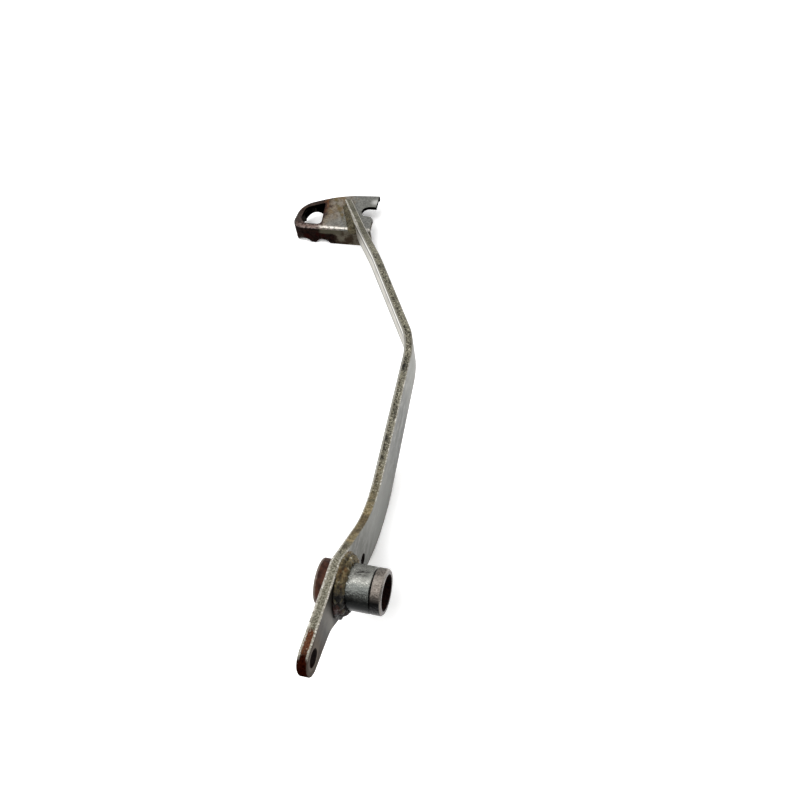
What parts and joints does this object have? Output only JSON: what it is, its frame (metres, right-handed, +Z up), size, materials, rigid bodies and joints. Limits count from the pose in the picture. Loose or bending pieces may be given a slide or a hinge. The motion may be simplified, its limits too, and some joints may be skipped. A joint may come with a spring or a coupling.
{
  "type": "brake pedal",
  "caption": "foot brake lever of bent steel plate with a welded pivot tube and bush, a rear rod arm and a stamped toe pad with a window, a notch and scalloped teeth",
  "frame": {"origin": "middle of the hub plate on the axis of the pivot bore", "axes": "+X along the pivot bore to the inboard side, +Y forward along the hub plate, +Z up with the lever lying upside down, its toe teeth and low elbow on the ground"},
  "size_m": [0.1344, 0.3287, 0.0476],
  "materials": {
    "arm_steel": "dull worn zinc plate with brown grime and rust specks on the cut edges",
    "tube_steel": "worn grey plated steel, rust red at the outboard end",
    "bush_steel": "turned steel with a warm tarnish, dark inside",
    "weld_steel": "rough lumpy weld, brown and ochre with grime",
    "pad_steel": "plated sheet steel, purple brown rust patina toward the rounded end"
  },
  "bodies": {
    "root": {"lever_arm": "arm_steel", "pivot_tube": "tube_steel", "pivot_bush": "bush_steel", "pivot_weld": "weld_steel", "toe_pad": "pad_steel", "pad_weld": "weld_steel"}
  },
  "joints": []
}
